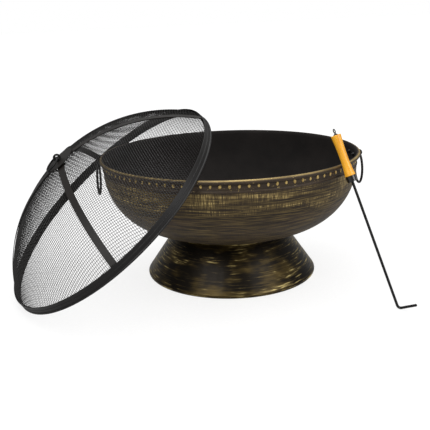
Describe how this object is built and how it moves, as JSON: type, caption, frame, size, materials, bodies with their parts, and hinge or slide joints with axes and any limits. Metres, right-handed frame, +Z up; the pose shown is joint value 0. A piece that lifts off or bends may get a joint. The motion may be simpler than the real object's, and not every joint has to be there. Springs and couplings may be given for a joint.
{
  "type": "fire pit with grate",
  "caption": "Round fire bowl on a flared pedestal, with ring handles, a domed mesh spark screen leaning on the rim, a leaning poker and a lift-out log grate.",
  "frame": {"origin": "on the ground, on the upright axis of the bowl", "axes": "+Z up along the bowl's axis, +X through the two ring handles towards the poker's side, +Y away from the viewer's side"},
  "size_m": [1.0997, 0.865, 0.5044],
  "materials": {
    "bowl_finish": "dark brown bronze paint with rubbed golden highlights",
    "pedestal_finish": "dark olive bronze paint, half gloss, with rubbed golden strokes",
    "hardware_zinc": "zinc plated",
    "black_iron": "black heat-proof paint, satin",
    "mesh_wire": "black painted woven wire",
    "strap_bronze": "dark bronze paint, satin",
    "grip_wood": "turned, clear varnish"
  },
  "bodies": {
    "fire_bowl": {"bowl_shell": "bowl_finish", "pedestal_skirt": "pedestal_finish", "pedestal_plate": "pedestal_finish", "base_bolts": "hardware_zinc", "base_washers": "hardware_zinc", "base_nuts": "hardware_zinc", "right_bracket": "black_iron", "left_bracket": "black_iron", "right_bracket_bolts": "black_iron", "left_bracket_bolts": "black_iron", "right_bracket_nuts": "black_iron", "left_bracket_nuts": "black_iron"},
    "right_handle": {"right_ring": "black_iron"},
    "left_handle": {"left_ring": "black_iron"},
    "spark_screen": {"screen_band": "black_iron", "screen_mesh": "mesh_wire", "strap_lower": "strap_bronze", "strap_upper": "strap_bronze", "hub_disc": "strap_bronze", "hub_eye_bolt": "black_iron", "hub_nut": "hardware_zinc"},
    "screen_lift": {"lift_ring": "black_iron"},
    "poker": {"poker_rod": "black_iron", "poker_ferrule": "black_iron", "poker_grip": "grip_wood", "poker_cap": "black_iron", "poker_eye": "black_iron"},
    "log_grate": {"grate_frame": "black_iron", "grate_bars": "black_iron", "grate_legs": "black_iron"}
  },
  "joints": [
    {"name": "right_handle_swing", "type": "hinge", "parent": "fire_bowl", "child": "right_handle", "pos_m": [0.388, 0, 0.3448], "axis": [0, -1, 0], "range_deg": [0, 150]},
    {"name": "left_handle_swing", "type": "hinge", "parent": "fire_bowl", "child": "left_handle", "pos_m": [-0.388, 0, 0.3448], "axis": [0, 1, 0], "range_deg": [0, 90]},
    {"name": "screen_lift_off", "type": "slide", "parent": "fire_bowl", "child": "spark_screen", "axis": [-0.6163, -0.2146, 0.7577], "range_m": [0, 0.3]},
    {"name": "lift_ring_swing", "type": "hinge", "parent": "spark_screen", "child": "screen_lift", "pos_m": [-0.47989, -0.16712, 0.40456], "axis": [-0.3289, 0.9444, 0], "range_deg": [0, 160]},
    {"name": "poker_pick_up", "type": "slide", "parent": "fire_bowl", "child": "poker", "axis": [0.7164, -0.5791, 0.3891], "range_m": [0, 0.2]},
    {"name": "grate_lift_out", "type": "slide", "parent": "fire_bowl", "child": "log_grate", "axis": [0, 0, 1], "range_m": [0, 0.15]}
  ]
}
